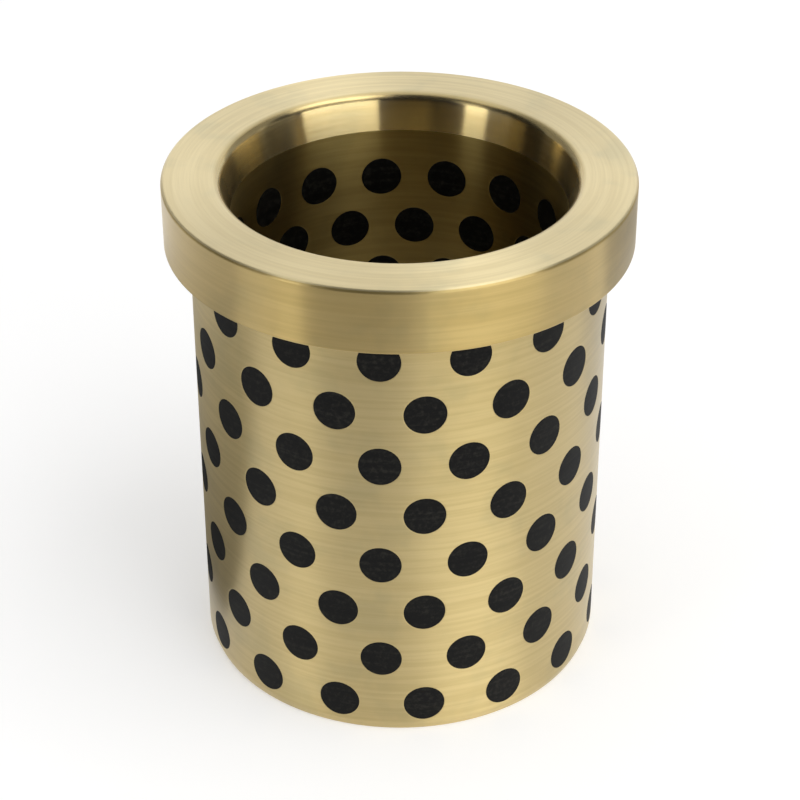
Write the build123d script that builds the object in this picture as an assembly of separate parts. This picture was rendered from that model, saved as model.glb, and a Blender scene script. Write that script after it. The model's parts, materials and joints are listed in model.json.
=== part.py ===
from build123d import *
from math import radians, tan
import os

# A headed, self-lubricating guide bush: one turned bronze sleeve with a flange, drilled
# through its wall in eight staggered rings, and a graphite plug pressed into every hole.
#
# Millimetres and degrees. The origin is on the bore's axis in the flange's seating face.
# +Z runs along the bore towards the flange's outer face, so the sleeve hangs below z = 0.

# ---- driving dimensions ----
BORE_D = 40.0
SLEEVE_D = 50.0
FLANGE_D = 56.0
FLANGE_T = 8.0
LENGTH = 64.0  # overall, from the flange's outer face to the plain end

LEAD_IN_DEPTH = 4.5  # cone at the bore's mouth, from the flange's outer face down
LEAD_IN_ANGLE = 15.0  # its angle to the axis
MOUTH_ROUND = 1.2  # radius between the cone and the outer face

FACE_BREAK = 0.3  # 45 degree chamfer between the outer face and the rim
SEAT_BREAK = 0.15  # 45 degree chamfer between the rim and the seating face
ENTRY_LENGTH = 1.0  # chamfer outside the plain end, along the axis
ENTRY_ANGLE = 20.0  # its angle to the axis
BORE_EXIT_BREAK = 0.5  # 45 degree chamfer inside the plain end

PLUG_D = 5.0
RINGS = 8
PLUGS_PER_RING = 15
RING_PITCH = 7.0
FIRST_RING_DEPTH = 2.9  # below the flange's seating face
CLOCKING = -95.4  # first plug of the first ring, counted from +X towards +Y

# ---- derived values ----
BORE_R = BORE_D / 2
SLEEVE_R = SLEEVE_D / 2
FLANGE_R = FLANGE_D / 2
PLUG_R = PLUG_D / 2
WALL = SLEEVE_R - BORE_R
FACE_Z = FLANGE_T
PLAIN_END_Z = FLANGE_T - LENGTH
LEAD_IN_Z = FACE_Z - LEAD_IN_DEPTH
MOUTH_R = BORE_R + LEAD_IN_DEPTH * tan(radians(LEAD_IN_ANGLE))  # the cone's edge before rounding
ENTRY_STEP = ENTRY_LENGTH * tan(radians(ENTRY_ANGLE))

COLUMNS = 2 * PLUGS_PER_RING  # alternate rings are turned by half a pitch
COLUMN_PITCH = 360 / COLUMNS


def turned_bush():
    """The bush as it leaves the lathe: half its section, spun about Z."""
    # X is the radius and Y the height, from the plain end up the outside and down the bore
    outline = Polyline(
        (BORE_R + BORE_EXIT_BREAK, PLAIN_END_Z),
        (SLEEVE_R - ENTRY_STEP, PLAIN_END_Z),
        (SLEEVE_R, PLAIN_END_Z + ENTRY_LENGTH),
        (SLEEVE_R, 0),
        (FLANGE_R - SEAT_BREAK, 0),
        (FLANGE_R, SEAT_BREAK),
        (FLANGE_R, FACE_Z - FACE_BREAK),
        (FLANGE_R - FACE_BREAK, FACE_Z),
        (MOUTH_R, FACE_Z),
        (BORE_R, LEAD_IN_Z),
        (BORE_R, PLAIN_END_Z + BORE_EXIT_BREAK),
        close=True,
    )
    section = make_face(outline.edges())
    mouth = section.vertices().sort_by_distance((MOUTH_R, FACE_Z))[0]
    return revolve(Plane.XZ * fillet(mouth, MOUTH_ROUND), Axis.Z, 360)


def radial_pin():
    """A pin of the plugs' diameter along +X, standing out of both sides of the wall."""
    pin = Cylinder(PLUG_R, 2 * WALL, align=(Align.CENTER, Align.CENTER, Align.MIN))
    return Pos(BORE_R - WALL / 2, 0, 0) * Rot(0, 90, 0) * pin


def plug():
    """One plug along +X, its two ends following the sleeve's outside and the bore."""
    wall = Cylinder(SLEEVE_R, 2 * PLUG_D) - Cylinder(BORE_R, 2 * PLUG_D)
    return radial_pin() & wall


def ring_height(ring):
    """Height of a ring's centres; ring 0 is the one next to the flange."""
    return -FIRST_RING_DEPTH - ring * RING_PITCH


def column_of(piece, column):
    """Copies of a radial piece at every second ring, in one of the columns."""
    turn = Rot(0, 0, CLOCKING + column * COLUMN_PITCH)
    return [turn * Pos(0, 0, ring_height(ring)) * piece for ring in range(column % 2, RINGS, 2)]


def drilled_bush():
    """The turned bush with every plug hole drilled through its wall."""
    drill = radial_pin()
    return turned_bush() - [hole for column in range(COLUMNS) for hole in column_of(drill, column)]


os.makedirs("parts", exist_ok=True)
export_step(drilled_bush(), "parts/bush_body.step")
graphite_plug = plug()
for column in range(COLUMNS):
    plugs = Compound([copy.solid() for copy in column_of(graphite_plug, column)])
    export_step(plugs, f"parts/plug_column_{column + 1:02d}.step")
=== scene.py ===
"""Dresses a flanged bronze bush with graphite plugs and stands it in a plain studio.

The bush is one turned piece of bronze, drilled through its wall in staggered rings, with a
graphite plug in every hole. Lengths are metres in the part's own frame: the origin is on the
bore's axis in the flange's seating face, and +Z points to the flange's outer face.
"""

import json
import logging
from collections.abc import Sequence
from dataclasses import dataclass, field
from enum import Enum
from math import cos, radians, sin, sqrt, tan, tau
from typing import Any

import bmesh
import bpy
from mathutils import Matrix, Vector


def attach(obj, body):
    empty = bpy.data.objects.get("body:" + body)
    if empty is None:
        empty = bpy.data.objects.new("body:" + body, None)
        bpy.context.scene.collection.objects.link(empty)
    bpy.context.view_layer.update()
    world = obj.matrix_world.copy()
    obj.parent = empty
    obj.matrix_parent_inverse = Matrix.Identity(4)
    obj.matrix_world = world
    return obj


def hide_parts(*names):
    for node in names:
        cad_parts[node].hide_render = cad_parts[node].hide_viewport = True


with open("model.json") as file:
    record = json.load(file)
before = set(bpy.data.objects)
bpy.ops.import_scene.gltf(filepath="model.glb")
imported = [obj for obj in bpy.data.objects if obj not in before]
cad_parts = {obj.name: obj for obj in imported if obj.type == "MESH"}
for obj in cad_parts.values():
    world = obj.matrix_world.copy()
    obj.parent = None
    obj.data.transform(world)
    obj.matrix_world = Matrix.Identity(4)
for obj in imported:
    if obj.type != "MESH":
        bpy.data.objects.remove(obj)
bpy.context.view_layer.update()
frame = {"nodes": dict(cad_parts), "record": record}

MM = 0.001
BODY = "root"
AXIS = Vector((0, 0, 1))
MERGE = 0.001 * MM  # vertices closer than this are one
FLOOR_GAP = 0.02 * MM  # keeps the plain end clear of the floor it stands on
BLEND = 0.1 * MM  # width in which the finish of one turned surface passes into the next
SHARP = radians(40)  # facets that meet more sharply than this keep their edge
NOISE_MIDDLE = 0.5  # what a noise varies about

log = logging.getLogger("bush")

Colour = tuple[float, float, float, float]
Span = tuple[float, float]  # from the first number to the second

WHITE: Colour = (1.0, 1.0, 1.0, 1.0)


# ---------------------------------------------------------------- shader building


class Blend(Enum):
    """How a Mix node joins two colours."""

    PLAIN = "MIX"
    MULTIPLIED = "MULTIPLY"


class Ending(Enum):
    """What a node tree ends in."""

    MATERIAL = "Material"
    WORLD = "World"


@dataclass(frozen=True)
class Grain:
    """How coarse a noise is.

    Attributes:
        scale: how many of its cells go into a metre.
        detail: how many finer layers are added to it.
        roughness: how much each finer layer counts.
    """

    scale: float
    detail: float
    roughness: float


class Value:
    """A number on its way through a shader; Python's operators add Math nodes to it."""

    def __init__(self, sheet: "Sheet", socket: bpy.types.NodeSocket) -> None:
        """Holds an output socket and the sheet it is on."""
        self.sheet = sheet
        self.socket = socket

    def math(self, operation: str, *others: "Value | float", first: bool = True) -> "Value":
        """Adds one Math node.

        Args:
            operation: the Math node's operation.
            others: the other operands.
            first: whether this value is the node's first operand or its last.

        Returns:
            The node's result.
        """
        operands = [self, *others] if first else [*others, self]
        return self.sheet.node("Math", {"operation": operation}, dict(enumerate(operands)))

    def __add__(self, other: "Value | float") -> "Value":
        """This value plus another."""
        return self.math("ADD", other)

    def __sub__(self, other: "Value | float") -> "Value":
        """This value less another."""
        return self.math("SUBTRACT", other)

    def __rsub__(self, other: float) -> "Value":
        """A number less this value."""
        return self.math("SUBTRACT", other, first=False)

    def __mul__(self, other: "Value | float") -> "Value":
        """This value times another."""
        return self.math("MULTIPLY", other)

    def __truediv__(self, other: "Value | float") -> "Value":
        """This value divided by another."""
        return self.math("DIVIDE", other)

    def __pow__(self, other: "Value | float") -> "Value":
        """This value to a power."""
        return self.math("POWER", other)

    __radd__ = __add__
    __rmul__ = __mul__

    def step(self, low: float, high: float) -> "Value":
        """A smooth rise from 0 at the low number to 1 at the high one."""
        inputs = {"Value": self, "From Min": low, "From Max": high}
        return self.sheet.node("MapRange", {"interpolation_type": "SMOOTHSTEP"}, inputs)


class Sheet:
    """A node tree for one finish, with a single way to add a node."""

    def __init__(self, owner: bpy.types.Material | bpy.types.World) -> None:
        """Starts with an empty tree.

        Args:
            owner: the material or the world that the tree belongs to.
        """
        self.owner = owner
        owner.use_nodes = True
        self.tree = owner.node_tree
        self.tree.nodes.clear()

    def node(
        self,
        kind: str,
        settings: dict[str, Any] | None = None,
        inputs: dict[str | int, Any] | None = None,
        output: str | int = 0,
    ) -> Value:
        """Adds a node, sets it up, and then fills its sockets.

        Args:
            kind: the node's type, without its "ShaderNode" prefix.
            settings: properties set before the sockets.
            inputs: a number, a colour or a link for each named or numbered socket.
            output: the socket that the result is read from.

        Returns:
            The chosen output, ready for more work.
        """
        node = self.tree.nodes.new("ShaderNode" + kind)
        for key, value in (settings or {}).items():
            setattr(node, key, value)
        for key, value in (inputs or {}).items():
            socket = self.socket(node.inputs, key)
            if isinstance(value, Value):
                self.tree.links.new(value.socket, socket)
            else:
                socket.default_value = value
        return Value(self, self.socket(node.outputs, output))

    @staticmethod
    def socket(sockets: Any, key: str | int) -> bpy.types.NodeSocket:
        """Finds one of a node's sockets.

        Args:
            sockets: the node's inputs or outputs.
            key: the socket's number, identifier or name.

        Returns:
            The socket.
        """
        if isinstance(key, int):
            return sockets[key]
        for socket in sockets:
            if socket.identifier == key:
                return socket
        return sockets[key]

    def mix(self, share: Value, first: Any, second: Any, blend: Blend = Blend.PLAIN) -> Value:
        """Mixes two colours.

        Args:
            share: 0 for the first colour, 1 for the second one or for the blend of both.
            first: a colour or a link.
            second: a colour or a link.
            blend: how they are joined.

        Returns:
            The mixed colour.
        """
        settings = {"data_type": "RGBA", "blend_type": blend.value, "clamp_factor": True}
        inputs = {"Factor_Float": share, "A_Color": first, "B_Color": second}
        return self.node("Mix", settings, inputs, "Result_Color")

    def noise(self, vector: Value, grain: Grain) -> Value:
        """Adds a noise.

        Args:
            vector: the place that the noise is read at.
            grain: how coarse it is.

        Returns:
            A value between 0 and 1.
        """
        inputs = {
            "Vector": vector,
            "Scale": grain.scale,
            "Detail": grain.detail,
            "Roughness": grain.roughness,
        }
        return self.node("TexNoise", {"noise_dimensions": "3D"}, inputs, "Fac")

    def bump(self, height: Value, strength: float, distance: float) -> Value:
        """A normal bent by a height."""
        inputs = {"Height": height, "Strength": strength, "Distance": distance}
        return self.node("Bump", {}, inputs, "Normal")

    def seen(self) -> Value:
        """Tells what is looked at from what only gives light.

        Returns:
            1 for what the camera sees directly, in a reflection or through glass, else 0.
        """
        kinds = ("Camera", "Glossy", "Transmission")
        camera, glossy, clear = (
            self.node("LightPath", {}, {}, f"Is {kind} Ray") for kind in kinds
        )
        return (camera + glossy + clear).math("MINIMUM", 1.0)

    def close(self, shader: Value, ending: Ending = Ending.MATERIAL) -> None:
        """Joins a shader to the output of the material or the world."""
        output = self.tree.nodes.new("ShaderNodeOutput" + ending.value)
        self.tree.links.new(shader.socket, output.inputs["Surface"])


@dataclass(frozen=True)
class Lathe:
    """The places on a turned piece, as shader values.

    Attributes:
        place: the point itself.
        radius: its distance from the axis.
        height: its height.
        around: a vector in which noise is drawn out round the axis, as turning marks are.
    """

    place: Value
    radius: Value
    height: Value
    around: Value

    @classmethod
    def on(cls, sheet: Sheet, wander: float = 0.6 * MM, slant: float = 0.83) -> "Lathe":
        """Works the places out from Object coordinates.

        Args:
            sheet: the sheet to add nodes to.
            wander: how far the marks' noise travels round a turn, so less is longer marks.
            slant: the height's share in where a mark is, beside the radius.

        Returns:
            The places.
        """
        place = sheet.node("TexCoord", {}, {}, "Object")
        x = sheet.node("SeparateXYZ", {}, {"Vector": place}, "X")
        split = x.socket.node
        y, height = Value(sheet, split.outputs["Y"]), Value(sheet, split.outputs["Z"])
        radius = (x * x + y * y) ** 0.5
        along = radius + height * slant
        turned = {"X": x / radius * wander, "Y": y / radius * wander, "Z": along}
        return cls(place, radius, height, sheet.node("CombineXYZ", {}, turned))


# ---------------------------------------------------------------- finishes


@dataclass(frozen=True)
class Places:
    """Radii and heights that part the bush's turned surfaces from each other.

    Attributes:
        rim: radius of the flange.
        face: height of the flange's outer face.
        throat: radius at which the lead-in cone passes into the mouth's rounding.
        mouth: radius at which that rounding passes into the face.
        lead_in: height at which the bore passes into the cone.
    """

    rim: float
    face: float
    throat: float
    mouth: float
    lead_in: float


@dataclass(frozen=True)
class Cut:
    """How one turned surface was left by its tool.

    Attributes:
        tone: the metal's colour there, set lighter or darker to match how bright the surface looks
            in this studio, so painted light and shade.
        roughness: from 0, a mirror, to 1, matt.
    """

    tone: Colour
    roughness: float


@dataclass(frozen=True)
class TurnedBronze:
    """Pale bronze straight from the lathe: satin, with turning marks and a film of oil.

    Each surface was cut with another tool, so each has a roughness of its own. Each also has a tone
    of its own, set to match how bright it looks here: the paler face is painted light, the darker
    bore painted shade.

    Attributes:
        places: where the turned surfaces part.
        name: the material's name.
        anisotropy: how even the turning marks are; the higher, the sharper the streaks.
        sleeve, rim, face, bore, cone: the turned surfaces; their tones carry painted light and
            shade.
        fine, broad: the two sizes of turning marks.
        clouds: the stains' size.
        mark, mark_span: what dulls the metal's colour in the broad marks, and which of them.
        stain, stain_span: the same for the stains.
        spread: how much the roughness varies with the broad marks.
        broad_share: the broad marks' depth beside the fine ones'.
        calm: how much of their depth the marks lose inside the mouth.
        mark_strength, mark_depth: how strongly the marks bend the light, and how deep they are.
        quarter: the turn of the anisotropy that lays it along the marks.
        film, film_roughness: the film of oil.
    """

    places: Places
    name: str
    anisotropy: float
    # painted light and shade: one bronze made lighter or darker per surface, with the face's paler
    # tone as painted light and the bore's darker tone as painted shade
    sleeve: Cut = Cut((0.67, 0.53, 0.24, 1.0), 0.45)
    rim: Cut = Cut((0.67, 0.50, 0.19, 1.0), 0.37)
    face: Cut = Cut((0.86, 0.73, 0.42, 1.0), 0.42)
    bore: Cut = Cut((0.47, 0.35, 0.12, 1.0), 0.32)
    cone: Cut = Cut((0.68, 0.54, 0.255, 1.0), 0.21)
    fine: Grain = Grain(9000.0, 2.0, 0.6)
    broad: Grain = Grain(2200.0, 3.0, 0.6)
    clouds: Grain = Grain(130.0, 3.0, 0.55)
    mark: Colour = (0.88, 0.86, 0.80, 1.0)
    mark_span: Span = (0.3, 0.7)
    stain: Colour = (0.89, 0.91, 0.93, 1.0)
    stain_span: Span = (0.48, 0.70)
    spread: float = 0.10
    broad_share: float = 0.5
    calm: float = 0.6
    mark_strength: float = 0.6
    mark_depth: float = 0.004 * MM
    quarter: float = 0.25
    film: float = 0.7
    film_roughness: float = 0.3

    def material(self) -> bpy.types.Material:
        """Builds the material.

        Returns:
            The finished material.
        """
        sheet = Sheet(bpy.data.materials.new(self.name))
        lathe = Lathe.on(sheet)
        fine = sheet.noise(lathe.around, self.fine)
        broad = sheet.noise(lathe.around, self.broad)
        cloud = sheet.noise(lathe.place, self.clouds)
        inside = 1 - lathe.radius.step(self.places.throat, self.places.mouth)
        # the tones from cuts hold painted light on the face and painted shade in the bore
        tone, roughness = self.cuts(sheet, lathe, inside)
        tone = sheet.mix(1 - broad.step(*self.mark_span), tone, self.mark, Blend.MULTIPLIED)
        tone = sheet.mix(cloud.step(*self.stain_span), tone, self.stain, Blend.MULTIPLIED)
        marks = (fine + broad * self.broad_share) * (1 - inside * self.calm)
        shader = {
            "Base Color": tone,
            "Metallic": 1.0,
            "Roughness": (broad - NOISE_MIDDLE) * self.spread + roughness,
            "Anisotropic": self.anisotropy,
            "Anisotropic Rotation": self.quarter,
            "Coat Weight": self.film,
            "Coat Roughness": self.film_roughness,
            "Normal": sheet.bump(marks, self.mark_strength, self.mark_depth),
        }
        sheet.close(sheet.node("BsdfPrincipled", {}, shader))
        return sheet.owner

    def cuts(self, sheet: Sheet, lathe: Lathe, inside: Value) -> tuple[Value, Value]:
        """The metal's colour and roughness before marks and stains; the colour is painted paler on
        the face and darker in the bore.

        Args:
            sheet: the sheet to add nodes to.
            lathe: the places on the bush.
            inside: 1 within the mouth.

        Returns:
            The colour and the roughness.
        """
        places = self.places
        at_rim = lathe.radius.step(places.rim - 2 * BLEND, places.rim - BLEND)
        at_face = lathe.height.step(places.face - 2 * BLEND, places.face - BLEND)
        in_cone = inside * lathe.height.step(places.lead_in, places.lead_in + BLEND)
        tone = sheet.mix(at_rim, self.sleeve.tone, self.rim.tone)
        roughness = at_rim * (self.rim.roughness - self.sleeve.roughness) + self.sleeve.roughness
        # the face's tone is painted light, and the bore's tone, through inside, is painted shade
        for share, cut in ((at_face, self.face), (inside, self.bore), (in_cone, self.cone)):
            tone = sheet.mix(share, tone, cut.tone)
            roughness = roughness + share * (cut.roughness - roughness)
        return tone, roughness


@dataclass(frozen=True)
class PressedGraphite:
    """Graphite dressed flush with the bronze: near black, with a faint greasy sheen.

    Attributes:
        name: the material's name.
        dark, light: its colours in and between the grains.
        light_span: which grains are light.
        grain: the pressed powder's grains.
        smear: the marks of the tool that dressed the plugs.
        smear_share: their part in the colour.
        smear_height: their height beside the grains'.
        roughness, spread: the roughness, and how much it varies with the grains.
        sheen: the level of the plain reflection.
        pit_strength, pit_depth: how strongly the grains bend the light, and how deep they are.
    """

    name: str = "graphite_pressed"
    dark: Colour = (0.0010, 0.0010, 0.0008, 1.0)
    light: Colour = (0.016, 0.0150, 0.0115, 1.0)
    light_span: Span = (0.45, 0.7)
    grain: Grain = Grain(1800.0, 4.0, 0.7)
    smear: Grain = Grain(2600.0, 2.0, 0.6)
    smear_share: float = 0.3
    smear_height: float = 0.5
    roughness: float = 0.6
    spread: float = 0.25
    sheen: float = 0.16
    pit_strength: float = 0.5
    pit_depth: float = 0.01 * MM

    def material(self) -> bpy.types.Material:
        """Builds the material.

        Returns:
            The finished material.
        """
        sheet = Sheet(bpy.data.materials.new(self.name))
        lathe = Lathe.on(sheet)
        grain = sheet.noise(lathe.place, self.grain)
        smear = sheet.noise(lathe.around, self.smear)
        mottle = grain * (1 - self.smear_share) + smear * self.smear_share
        height = grain + smear * self.smear_height
        shader = {
            "Base Color": sheet.mix(mottle.step(*self.light_span), self.dark, self.light),
            "Roughness": (grain - NOISE_MIDDLE) * self.spread + self.roughness,
            "Specular IOR Level": self.sheen,
            "Normal": sheet.bump(height, self.pit_strength, self.pit_depth),
        }
        sheet.close(sheet.node("BsdfPrincipled", {}, shader))
        return sheet.owner


@dataclass(frozen=True)
class WhitePaper:
    """Matt white paper, which the camera and the metal see as white apart from its shadow.

    Attributes:
        name: the material's name.
        colour: the paper's own colour.
        lift: what is added to it where it is seen, to reach white.
    """

    name: str = "floor_paper"
    colour: Colour = (0.80, 0.80, 0.80, 1.0)
    lift: float = 0.28

    def material(self) -> bpy.types.Material:
        """Builds the material.

        Returns:
            The finished material.
        """
        sheet = Sheet(bpy.data.materials.new(self.name))
        paper = sheet.node("BsdfDiffuse", {}, {"Color": self.colour})
        lift = sheet.node("Emission", {}, {"Color": WHITE, "Strength": self.lift})
        lifted = sheet.node("AddShader", {}, {0: paper, 1: lift})
        sheet.close(sheet.node("MixShader", {}, {0: sheet.seen(), 1: paper, 2: lifted}))
        return sheet.owner


@dataclass(frozen=True)
class Cloth:
    """Matt grey cloth, for the screens that give the metal its dark bands."""

    shade: float

    def material(self) -> bpy.types.Material:
        """Builds the material.

        Returns:
            The finished material.
        """
        sheet = Sheet(bpy.data.materials.new(f"cloth_{self.shade * 100:.0f}"))
        grey = (self.shade, self.shade, self.shade, 1.0)
        sheet.close(sheet.node("BsdfDiffuse", {}, {"Color": grey}))
        return sheet.owner


# ---------------------------------------------------------------- the bush


def mount(name: str) -> dict[str, Any]:
    """The part's mount of that name."""
    return next(m for m in frame["record"]["mounts"] if m["name"] == name)


def turn_about_axis(bm: bmesh.types.BMesh, angle: float) -> None:
    """Turns everything in a bmesh about the bush's axis."""
    bmesh.ops.rotate(bm, verts=bm.verts, matrix=Matrix.Rotation(angle, 3, AXIS))


def edges_of(
    bm: bmesh.types.BMesh, loop: Sequence[bmesh.types.BMVert]
) -> list[bmesh.types.BMEdge]:
    """The edges of a bmesh that join a loop's vertices."""
    return [edge for edge in bm.edges if edge.verts[0] in loop and edge.verts[1] in loop]


def join(bm: bmesh.types.BMesh, piece: bmesh.types.BMesh) -> None:
    """Adds one bmesh to another, and frees it.

    Args:
        bm: what is added to.
        piece: what is added, and then is gone.
    """
    carrier = bpy.data.meshes.new("carrier")
    piece.to_mesh(carrier)
    piece.free()
    bm.from_mesh(carrier)
    bpy.data.meshes.remove(carrier)


def new_object(name: str, bm: bmesh.types.BMesh) -> bpy.types.Object:
    """Turns a finished bmesh into an object at the origin.

    Args:
        name: the object's name and its mesh's.
        bm: the bmesh, which is freed.

    Returns:
        The object, already in the scene.
    """
    mesh = bpy.data.meshes.new(name)
    bm.to_mesh(mesh)
    bm.free()
    thing = bpy.data.objects.new(name, mesh)
    bpy.context.scene.collection.objects.link(thing)
    return thing


@dataclass(frozen=True)
class Corner:
    """A corner of a turned section.

    Attributes:
        radius: its distance from the axis.
        height: its height.
        setback: how far from the corner its rounding starts.
        segments: facets across the rounding.
    """

    radius: float
    height: float
    setback: float = 0.05 * MM
    segments: int = 3

    @property
    def spot(self) -> Vector:
        """The corner in the section's plane."""
        return Vector((self.radius, 0, self.height))


@dataclass(frozen=True)
class PlugPattern:
    """Where the plug holes are: staggered rings, each turned half a step from the last.

    Attributes:
        radius: a hole's radius.
        rings: how many rings there are.
        per_ring: how many holes a ring has.
        pitch: the distance from one ring to the next.
        first_depth: the first ring's depth below the flange's seating face.
        clocking: the angle of its first hole.
    """

    radius: float = 2.5 * MM
    rings: int = 8
    per_ring: int = 15
    pitch: float = 7.0 * MM
    first_depth: float = 2.9 * MM
    clocking: float = radians(-95.4)

    @property
    def step(self) -> float:
        """The angle from one plug of a ring to the next."""
        return tau / self.per_ring

    def height(self, ring: int) -> float:
        """Height of a ring's centres; ring 0 is the one next to the flange."""
        return -self.first_depth - ring * self.pitch

    def turn(self, ring: int) -> float:
        """The angle at which a ring starts."""
        return self.clocking + (ring % 2) * self.step / 2


@dataclass(frozen=True)
class Row:
    """Where one loop of a tile lies.

    Attributes:
        wall: radius of the wall that it is on.
        share: 0 on the hole and 1 on the tile's outline.
        spread: what the hole's radius is multiplied by.
    """

    wall: float
    share: float = 0.0
    spread: float = 1.0


@dataclass
class BronzeBush:
    """The bush's bronze: a sleeve with a flange, its edges broken and its plug holes drilled.

    The wall is laid out in tiles. A tile is one plug hole and the piece of wall round it, down
    through the hole and back out along the bore. Fifteen tiles go round a ring, and the eight
    rings meet edge to edge. The flange and the plain end are spun on to the two outer rings.

    Attributes:
        pattern: where the plug holes are.
        bore, sleeve, rim: radii of the bore, the sleeve and the flange.
        face, plain_end: heights of the flange's outer face and of the plain end.
        straight, bore_straight: lengths of the sleeve and the bore between their chamfers.
        lead_in_angle: the cone's angle to the axis.
        mouth_round: radius between the cone and the face.
        face_break, seat_break, exit_break: chamfers of the face, the seat and the bore's exit.
        entry_step: how much narrower the plain end is than the sleeve.
        face_soft: how far from the face chamfer's corners their rounding starts.
        face_facets: facets across that rounding.
        mouth_facets: facets across the mouth's.
        burr: how far from a plug hole's rim its rounding starts.
        tile_width: facets along a tile's top and bottom.
        tile_height: facets along its two sides.
        tile_rows: where a tile's loops lie, from 0 on the hole to 1 on the outline.
    """

    pattern: PlugPattern = field(default_factory=PlugPattern)
    bore: float = mount("bore")["dims"]["r_mm"] * MM
    sleeve: float = mount("sleeve")["dims"]["r_mm"] * MM
    rim: float = mount("flange_rim")["dims"]["r_mm"] * MM
    face: float = mount("flange_face")["pos_m"][2]
    plain_end: float = mount("plain_end")["pos_m"][2]
    straight: float = mount("sleeve")["dims"]["length_mm"] * MM
    bore_straight: float = mount("bore")["dims"]["length_mm"] * MM
    lead_in_angle: float = radians(15.0)
    mouth_round: float = 1.2 * MM
    face_break: float = 0.3 * MM
    seat_break: float = 0.15 * MM
    exit_break: float = 0.5 * MM
    entry_step: float = 0.364 * MM
    face_soft: float = 0.13 * MM
    face_facets: int = 4
    mouth_facets: int = 10
    burr: float = 0.04 * MM
    tile_width: int = 10
    tile_height: int = 6
    tile_rows: tuple[float, ...] = (0.28, 0.62, 1.0)

    @property
    def lead_in(self) -> float:
        """Height at which the bore's lead-in cone starts."""
        return self.plain_end + self.exit_break + self.bore_straight

    @property
    def mouth(self) -> Corner:
        """The corner of the lead-in cone and the outer face.

        Returns:
            The corner, with its rounding.
        """
        radius = self.bore + (self.face - self.lead_in) * tan(self.lead_in_angle)
        setback = self.mouth_round * tan((tau / 4 - self.lead_in_angle) / 2)
        return Corner(radius, self.face, setback, self.mouth_facets)

    @property
    def places(self) -> Places:
        """Where the bush's turned surfaces part.

        Returns:
            The radii and heights between them.
        """
        mouth = self.mouth
        throat = mouth.radius - mouth.setback * sin(self.lead_in_angle)
        return Places(self.rim, self.face, throat, mouth.radius + mouth.setback, self.lead_in)

    def build(self, satin: bpy.types.Material, bright: bpy.types.Material) -> bpy.types.Object:
        """Builds the bush and puts it in the place of its CAD node.

        Args:
            satin: the bronze of the sleeve and the outer face.
            bright: the bronze of the rim, the lead-in cone and the bore.

        Returns:
            The finished piece.
        """
        bm = bmesh.new()
        for ring in range(self.pattern.rings):
            join(bm, self.drilled_ring(ring))
        join(bm, self.spun(self.flange_section()))
        join(bm, self.spun(self.plain_section()))
        bmesh.ops.remove_doubles(bm, verts=bm.verts, dist=MERGE)
        bmesh.ops.recalc_face_normals(bm, faces=bm.faces)
        bush = new_object("bush", bm)
        bush.data.shade_smooth()
        bush.data.set_sharp_from_angle(angle=SHARP)
        bush.data.materials.append(satin)
        bush.data.materials.append(bright)
        for facet in bush.data.polygons:
            facet.material_index = int(self.is_bright(facet.center))
        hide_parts("bush_body")
        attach(bush, BODY)
        return bush

    def is_bright(self, spot: Vector) -> bool:
        """Whether a spot on the bush is on the rim, the lead-in cone or the bore."""
        radius = spot.xy.length
        return radius < self.mouth.radius or radius > self.rim - self.face_break

    # -- the two turned ends

    def flange_section(self) -> list[Corner]:
        """The flange's section.

        Returns:
            Its corners, from the sleeve round to the bore.
        """
        return [
            Corner(self.sleeve, 0.0),
            Corner(self.rim - self.seat_break, 0.0),
            Corner(self.rim, self.seat_break),
            Corner(self.rim, self.face - self.face_break, self.face_soft, self.face_facets),
            Corner(self.rim - self.face_break, self.face, self.face_soft, self.face_facets),
            self.mouth,
            Corner(self.bore, self.lead_in),
            Corner(self.bore, 0.0),
        ]

    def plain_section(self) -> list[Corner]:
        """The plain end's section.

        Returns:
            Its corners, from the bore round to the sleeve.
        """
        return [
            Corner(self.bore, -self.straight),
            Corner(self.bore, self.plain_end + self.exit_break),
            Corner(self.bore + self.exit_break, self.plain_end),
            Corner(self.sleeve - self.entry_step, self.plain_end),
            Corner(self.sleeve, -self.straight),
        ]

    def spun(self, section: Sequence[Corner]) -> bmesh.types.BMesh:
        """Spins a section about the axis, with its inner corners rounded.

        Args:
            section: the corners, in order.

        Returns:
            The surface, open along the section's first and last corners.
        """
        bm = bmesh.new()
        chain = [bm.verts.new(section[0].spot)]
        rounded = []
        for before, here, after in zip(section, section[1:], section[2:]):
            # a vertex either side of a corner keeps the flats flat beside the rounding
            ways = [end.spot - here.spot for end in (before, after)]
            reaches = [min(2 * here.setback, 0.4 * way.length) for way in ways]
            guards = [way.normalized() * reach for way, reach in zip(ways, reaches)]
            spots = [here.spot + offset for offset in (guards[0], Vector(), guards[1])]
            chain += [bm.verts.new(spot) for spot in spots]
            rounded.append((chain[-2], here))
        chain.append(bm.verts.new(section[-1].spot))
        for pair in zip(chain, chain[1:]):
            bm.edges.new(pair)
        for vert, corner in rounded:
            bmesh.ops.bevel(
                bm,
                geom=[vert],
                offset=corner.setback,
                segments=corner.segments,
                profile=0.5,
                affect="VERTICES",
                material=-1,
            )
        turn_about_axis(bm, self.pattern.clocking)
        bmesh.ops.spin(
            bm,
            geom=bm.verts[:] + bm.edges[:],
            cent=(0, 0, 0),
            axis=AXIS,
            angle=tau,
            steps=self.pattern.per_ring * self.tile_width,
            use_merge=True,
            use_duplicate=False,
        )
        return bm

    # -- the drilled wall

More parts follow.
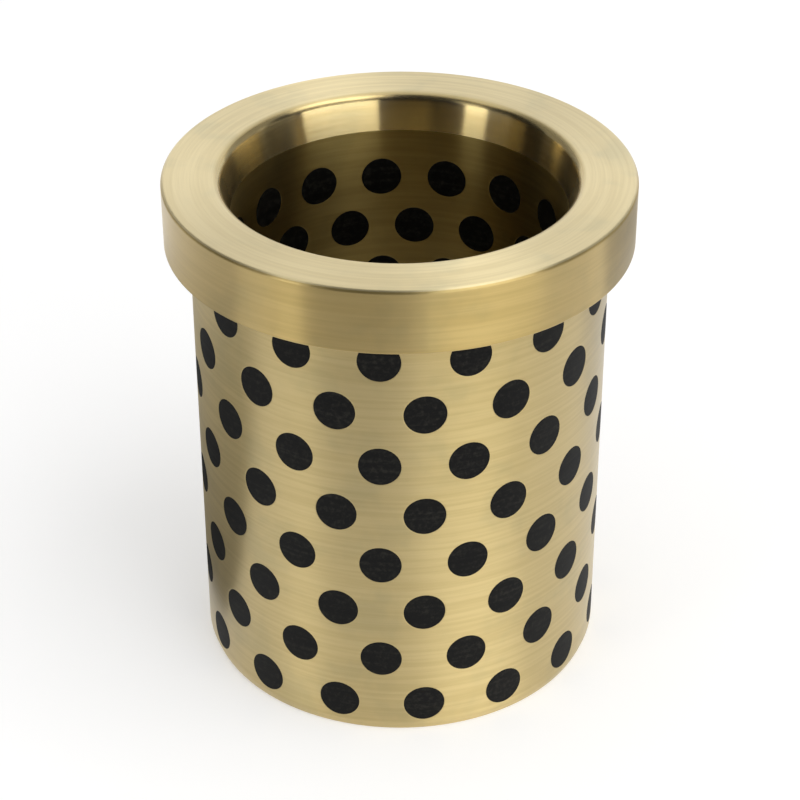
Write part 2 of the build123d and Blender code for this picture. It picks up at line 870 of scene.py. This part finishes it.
    def drilled_ring(self, ring: int) -> bmesh.types.BMesh:
        """One ring of the wall, with its plug holes.

        The first ring ends at the flange's seating face and the last one where the plain end's
        chamfer starts. Elsewhere the rings part midway between their holes.

        Args:
            ring: the ring's number.

        Returns:
            The ring, open at its top and bottom.
        """
        height = self.pattern.height(ring)
        half = self.pattern.pitch / 2
        top = -height if ring == 0 else half
        bottom = -self.straight - height if ring == self.pattern.rings - 1 else -half
        bm = self.tile(top, bottom)
        turn_about_axis(bm, self.pattern.turn(ring))
        bmesh.ops.translate(bm, verts=bm.verts, vec=(0, 0, height))
        copies = self.pattern.per_ring - 1
        bmesh.ops.spin(
            bm,
            geom=bm.verts[:] + bm.edges[:] + bm.faces[:],
            cent=(0, 0, 0),
            axis=AXIS,
            angle=copies * self.pattern.step,
            steps=copies,
            use_duplicate=True,
        )
        return bm

    def tile(self, top: float, bottom: float) -> bmesh.types.BMesh:
        """One plug hole on +X and the wall round it.

        The tile is a single loop, drawn in from its outline on the sleeve to the hole, through
        the wall, and out again along the bore.

        Args:
            top: the tile's upper edge, from the hole's axis.
            bottom: its lower edge, from the hole's axis.

        Returns:
            The tile, with the hole's two rims rounded.
        """
        margin = 3 * self.burr
        near = (self.pattern.radius + margin) / self.pattern.radius
        inwards = [Row(self.sleeve, share) for share in reversed(self.tile_rows)]
        outwards = [Row(self.bore, share) for share in self.tile_rows]
        rims = (Row(self.sleeve), Row(self.bore))
        rows = [*inwards, Row(self.sleeve, spread=near), rims[0]]
        rows += [Row(self.bore + margin), rims[1], Row(self.bore, spread=near), *outwards]
        bm = bmesh.new()
        sides = 2 * (self.tile_width + self.tile_height)
        loop = bmesh.ops.create_circle(bm, segments=sides, radius=self.pattern.radius)["verts"]
        broken = []
        for row in rows:
            if row is not rows[0]:
                loop = self.drawn_on(bm, loop)
            for place, vert in enumerate(loop):
                vert.co = self.wall_point(place, sides, row, top, bottom)
            if row in rims:
                broken += edges_of(bm, loop)
        bmesh.ops.bevel(
            bm,
            geom=broken,
            offset=self.burr,
            segments=2,
            profile=0.5,
            affect="EDGES",
            material=-1,
            loop_slide=True,
        )
        return bm

    @staticmethod
    def drawn_on(
        bm: bmesh.types.BMesh, loop: Sequence[bmesh.types.BMVert]
    ) -> list[bmesh.types.BMVert]:
        """Extrudes a loop into the next one.

        Args:
            bm: the tile so far.
            loop: its last loop.

        Returns:
            The new loop, in the same order.
        """
        fresh = bmesh.ops.extrude_edge_only(bm, edges=edges_of(bm, loop))["geom"]
        after = {vert for vert in fresh if isinstance(vert, bmesh.types.BMVert)}
        ways = ([edge.other_vert(vert) for edge in vert.link_edges] for vert in loop)
        return [next(vert for vert in ends if vert in after) for ends in ways]

    def wall_point(self, place: int, sides: int, row: Row, top: float, bottom: float) -> Vector:
        """A point on the wall round a hole on +X.

        Args:
            place: the point's number in its loop, from the middle of the tile's right side.
            sides: the number of points in a loop.
            row: where the loop lies.
            top: the tile's upper edge.
            bottom: its lower edge.

        Returns:
            The point.
        """
        angle = tau * place / sides
        hole = Vector((cos(angle), sin(angle))) * (self.pattern.radius * row.spread)
        step = (place + self.tile_height / 2) % sides

        def travel(start: float, length: float) -> float:
            """How much of one side of the tile the loop has passed here, from 0 to 1."""
            return min(max((step - start) / length, 0.0), 1.0)

        width, tall = self.tile_width, self.tile_height
        up = travel(0, tall) - travel(width + tall, tall)
        across = travel(tall, width) - travel(width + 2 * tall, width)
        side = row.wall * sin(self.pattern.step / 2 * (1 - 2 * across))
        outline = Vector((side, bottom + (top - bottom) * up))
        flat = hole.lerp(outline, row.share)
        return Vector((sqrt(row.wall**2 - flat.x**2), flat.x, flat.y))


@dataclass
class GraphitePlugs:
    """The plugs, four to a node, each flush with the sleeve and with the bore.

    Attributes:
        prefix: what the names of their nodes start with.
    """

    prefix: str = "plug_column"

    def dress(self, finish: bpy.types.Material) -> int:
        """Gives every plug its finish.

        Args:
            finish: the graphite.

        Returns:
            How many nodes were dressed.
        """
        columns = [node for name, node in frame["nodes"].items() if name.startswith(self.prefix)]
        for column in columns:
            column.data.materials.clear()
            column.data.materials.append(finish)
        return len(columns)


# ---------------------------------------------------------------- studio


@dataclass
class Lamp:
    """A rectangular softbox, placed by its direction from the bush.

    Attributes:
        name: its name.
        azimuth, elevation: its direction in degrees, azimuth from the front to the right.
        width, height: the size of its cloth.
        strength: the cloth's brightness, where 1 is white paper.
        distance: how far from the bush it stands.
    """

    name: str
    azimuth: float
    elevation: float
    width: float
    height: float
    strength: float
    distance: float = 1.2

    def stand(self, aim: Vector) -> None:
        """Puts the lamp in the scene.

        Args:
            aim: the point that it is turned to.
        """
        lamp = bpy.data.lights.new(self.name, "AREA")
        lamp.shape = "RECTANGLE"
        lamp.size, lamp.size_y = self.width, self.height
        lamp.energy = self.strength * tau / 2 * self.width * self.height
        holder = bpy.data.objects.new(self.name, lamp)
        spot = direction(self.azimuth, self.elevation) * self.distance + aim
        turn = (aim - spot).to_track_quat("-Z", "Y")
        holder.matrix_world = Matrix.Translation(spot) @ turn.to_matrix().to_4x4()
        bpy.context.scene.collection.objects.link(holder)


@dataclass
class Screen:
    """Cloth round the bush, seen only in reflections.

    It is a straight line spun about the axis: upright it is a wall, flat it is a mat.

    Attributes:
        name: its name.
        near, far: distance from the axis and height above the floor, at either edge.
        angles: the azimuths that it reaches from and to, in degrees.
        shade: how bright its cloth is.
        steps: facets round it.
    """

    name: str
    near: Span
    far: Span
    angles: Span
    shade: float
    steps: int = 40

    @classmethod
    def wall(cls, name: str, angles: Span, shade: float) -> "Screen":
        """An upright screen at the edge of the studio."""
        return cls(name, (1.6, 0.0), (1.6, 2.4), angles, shade)

    @classmethod
    def mat(cls, name: str, reach: Span, angles: Span, shade: float) -> "Screen":
        """A flat screen just above the floor, from one distance to another."""
        return cls(name, (reach[0], MM), (reach[1], MM), angles, shade)

    def stand(self, floor: float) -> None:
        """Spins the line through the screen's angles and hides it from all but gloss.

        Args:
            floor: the floor's height.
        """
        bm = bmesh.new()
        ends = [bm.verts.new((0, -out, floor + up)) for out, up in (self.near, self.far)]
        edge = bm.edges.new(ends)
        start, end = (radians(angle) for angle in self.angles)
        turn_about_axis(bm, start)
        bmesh.ops.spin(
            bm,
            geom=[*ends, edge],
            cent=(0, 0, 0),
            axis=AXIS,
            angle=end - start,
            steps=self.steps,
        )
        screen = new_object(self.name, bm)
        screen.data.materials.append(Cloth(self.shade).material())
        screen.visible_camera = False
        screen.visible_diffuse = False
        screen.visible_shadow = False


def direction(azimuth: float, elevation: float) -> Vector:
    """A unit vector from the bush, azimuth counted in degrees from the front to the right."""
    side, up = radians(azimuth), radians(elevation)
    return Vector((sin(side) * cos(up), -cos(side) * cos(up), sin(up)))


@dataclass
class Studio:
    """A pale floor, soft light and the camera.

    Attributes:
        floor_height, face_height: heights of the floor and of the flange's outer face.
        floor_size, floor_squares: the paper's width, and the squares along it.
        world_level: the strength of the even surrounding.
        camera_back, camera_above_face: the camera's place.
        camera_pitch, camera_roll: its tilt down and its lean, in degrees.
        lens: its focal length in millimetres.
        near_clip: how near to it things may be.
        lamps, screens: what the metal reflects.
    """

    floor_height: float
    face_height: float
    floor_size: float = 8.0
    floor_squares: int = 8
    world_level: float = 0.7
    camera_back: float = 247.26 * MM
    camera_above_face: float = 127.46 * MM
    camera_pitch: float = 32.795
    camera_roll: float = -0.12
    lens: float = 106.27
    near_clip: float = 10 * MM
    lamps: tuple[Lamp, ...] = (
        Lamp("softbox_right", azimuth=39, elevation=8, width=1.12, height=0.5, strength=3.4),
        Lamp("softbox_right_core", azimuth=39, elevation=8, width=0.55, height=0.5, strength=2.0),
        Lamp("strip_left", azimuth=-50.5, elevation=8, width=0.32, height=0.5, strength=3.4),
        Lamp("strip_left_edge", azimuth=-67, elevation=8, width=0.38, height=0.5, strength=0.3),
        Lamp("strip_left_top", azimuth=-50.5, elevation=34, width=0.32, height=0.6, strength=0.65),
        Lamp("softbox_side", azimuth=85, elevation=8, width=0.64, height=0.5, strength=0.3),
        Lamp("softbox_top", azimuth=60, elevation=62, width=0.9, height=0.6, strength=2.0),
    )
    screens: tuple[Screen, ...] = (
        Screen.wall("wall_left", (-150, -105), 0.35),
        Screen.wall("wall", (-105, 95), 0.02),
        Screen.wall("wall_right", (95, 140), 0.4),
        Screen("hood", (1.6, 2.4), (0.35, 3.0), (-75, 25), 0.02),
        # painted shadow: a dark mat close to the bush's left-back, seen only in reflections, stands
        # in for the bush's shadow on the floor there
        Screen.mat("mat_back_left", (0.03, 0.11), (-150, -78), 0.2),
        Screen.mat("mat_left", (0.11, 1.6), (-57, -40), 0.15),
        Screen.mat("mat_front", (0.11, 0.4), (-40, -5), 0.5),
        Screen.mat("mat_front_edge", (0.11, 0.4), (-5, 5), 0.7),
        Screen.mat("mat_front_far", (0.4, 1.6), (-40, 12), 0.03),
        Screen.mat("mat_right_far", (0.4, 1.6), (62, 95), 0.15),
        Screen.mat("mat_right", (0.07, 1.6), (15, 62), 0.45),
        Screen.mat("mat_back_right", (0.11, 1.6), (104, 150), 0.48),
    )

    def build(self) -> None:
        """Sets up the floor, the lamps, the screens, the world and the camera."""
        bpy.context.scene.view_settings.view_transform = "Standard"
        self.lay_floor()
        self.light_world()
        aim = Vector((0, 0, self.floor_height / 2))
        for lamp in self.lamps:
            lamp.stand(aim)
        for screen in self.screens:
            screen.stand(self.floor_height)
        self.stand_camera()

    def lay_floor(self) -> None:
        """A wide sheet of paper under the bush."""
        bm = bmesh.new()
        squares = self.floor_squares
        bmesh.ops.create_grid(bm, x_segments=squares, y_segments=squares, size=self.floor_size / 2)
        bmesh.ops.translate(bm, vec=(0, 0, self.floor_height), verts=bm.verts)
        floor = new_object("floor", bm)
        floor.data.materials.append(WhitePaper().material())

    def light_world(self) -> None:
        """An even surrounding, white where it is seen."""
        sheet = Sheet(bpy.data.worlds.new("studio"))
        shown = sheet.node("Background", {}, {"Color": WHITE, "Strength": 1.0})
        even = sheet.node("Background", {}, {"Color": WHITE, "Strength": self.world_level})
        mixed = sheet.node("MixShader", {}, {0: sheet.seen(), 1: even, 2: shown})
        sheet.close(mixed, Ending.WORLD)
        bpy.context.scene.world = sheet.owner

    def stand_camera(self) -> None:
        """The camera, looking down at the bush from the front."""
        camera = bpy.data.cameras.new("camera")
        camera.lens = self.lens
        camera.clip_start = self.near_clip
        holder = bpy.data.objects.new("camera", camera)
        spot = Matrix.Translation((0, -self.camera_back, self.face_height + self.camera_above_face))
        pitch = Matrix.Rotation(radians(90 - self.camera_pitch), 4, "X")
        roll = Matrix.Rotation(radians(self.camera_roll), 4, "Z")
        holder.matrix_world = spot @ pitch @ roll
        bpy.context.scene.collection.objects.link(holder)
        bpy.context.scene.camera = holder


def main() -> None:
    """Builds the bush, dresses its plugs, and sets up the studio."""
    logging.basicConfig(level=logging.INFO, format="%(name)s: %(message)s")
    shape = BronzeBush()
    satin = TurnedBronze(shape.places, "bronze_satin", anisotropy=0.85)
    bright = TurnedBronze(shape.places, "bronze_bright", anisotropy=1.0)
    bush = shape.build(satin.material(), bright.material())
    log.info("bush: %d faces", len(bush.data.polygons))
    count = GraphitePlugs().dress(PressedGraphite().material())
    log.info("plugs: %d columns", count)
    Studio(floor_height=shape.plain_end - FLOOR_GAP, face_height=shape.face).build()
    log.info("studio: ready")


if __name__ == "__main__":
    main()
